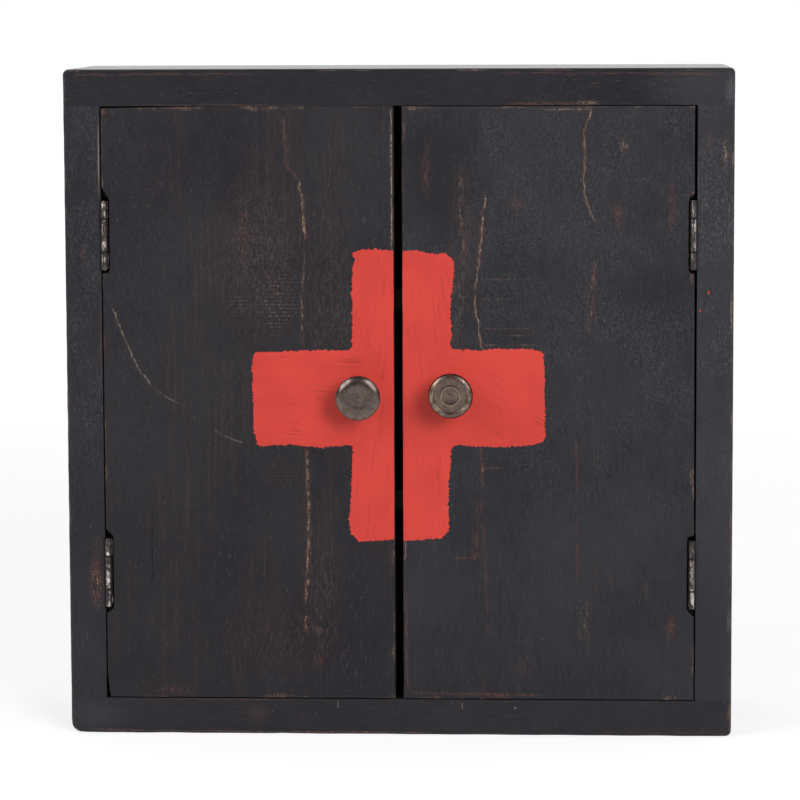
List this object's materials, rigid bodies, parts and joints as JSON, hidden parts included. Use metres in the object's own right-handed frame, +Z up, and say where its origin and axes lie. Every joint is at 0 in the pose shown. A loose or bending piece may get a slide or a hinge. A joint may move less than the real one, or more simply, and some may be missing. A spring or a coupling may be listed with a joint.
{
  "type": "medicine cabinet",
  "caption": "Square wooden wall cabinet with inset double doors on butt hinges, turned knobs, shelves, magnetic catches and keyhole hangers, painted black with a red cross.",
  "frame": {"origin": "centre of the underside of the carcass", "axes": "+X to the right seen from the front, +Y from the doors towards the wall, +Z up"},
  "size_m": [0.4, 0.144, 0.402],
  "materials": {
    "carcass_wood": "worn black paint",
    "door_wood": "worn black paint",
    "inside_wood": "dark stain",
    "back_plywood": "dark stain",
    "hinge_steel": "darkened",
    "knob_brass": "aged",
    "catch_plastic": "matte",
    "magnet_ferrite": "sintered",
    "plated_steel": "zinc plated"
  },
  "bodies": {
    "cabinet": {"back_panel": "back_plywood", "back_panel_nails": "plated_steel", "bottom_board": "carcass_wood", "carcass_screws": "plated_steel", "catch_screws": "plated_steel", "cleat_nails": "plated_steel", "left_catch_housing": "catch_plastic", "left_catch_magnet": "magnet_ferrite", "left_catch_poles": "plated_steel", "left_frame_leaf_screws": "hinge_steel", "left_side_board": "carcass_wood", "left_wall_hanger": "plated_steel", "lower_left_cleat": "inside_wood", "lower_left_frame_leaf": "hinge_steel", "lower_left_hinge_pin": "hinge_steel", "lower_right_cleat": "inside_wood", "lower_right_frame_leaf": "hinge_steel", "lower_right_hinge_pin": "hinge_steel", "lower_shelf": "inside_wood", "right_catch_housing": "catch_plastic", "right_catch_magnet": "magnet_ferrite", "right_catch_poles": "plated_steel", "right_frame_leaf_screws": "hinge_steel", "right_side_board": "carcass_wood", "right_wall_hanger": "plated_steel", "shelf_nails": "plated_steel", "top_board": "carcass_wood", "upper_left_cleat": "inside_wood", "upper_left_frame_leaf": "hinge_steel", "upper_left_hinge_pin": "hinge_steel", "upper_right_cleat": "inside_wood", "upper_right_frame_leaf": "hinge_steel", "upper_right_hinge_pin": "hinge_steel", "upper_shelf": "inside_wood", "wall_hanger_screws": "plated_steel"},
    "left_door": {"left_door_leaf_screws": "hinge_steel", "left_door_narrow_board": "door_wood", "left_door_wide_board": "door_wood", "left_knob": "knob_brass", "left_knob_screw": "plated_steel", "left_knob_washer": "plated_steel", "left_strike_plate": "plated_steel", "left_strike_screw": "plated_steel", "lower_left_door_leaf": "hinge_steel", "upper_left_door_leaf": "hinge_steel"},
    "right_door": {"lower_right_door_leaf": "hinge_steel", "right_door_leaf_screws": "hinge_steel", "right_door_narrow_board": "door_wood", "right_door_wide_board": "door_wood", "right_knob": "knob_brass", "right_knob_screw": "plated_steel", "right_knob_washer": "plated_steel", "right_strike_plate": "plated_steel", "right_strike_screw": "plated_steel", "upper_right_door_leaf": "hinge_steel"}
  },
  "joints": [
    {"name": "left_door_hinge", "type": "hinge", "parent": "cabinet", "child": "left_door", "pos_m": [-0.1759, -0.0606, 0.201], "axis": [0, 0, -1], "range_deg": [0, 175]},
    {"name": "right_door_hinge", "type": "hinge", "parent": "cabinet", "child": "right_door", "pos_m": [0.1759, -0.0606, 0.201], "axis": [0, 0, 1], "range_deg": [0, 175]}
  ]
}
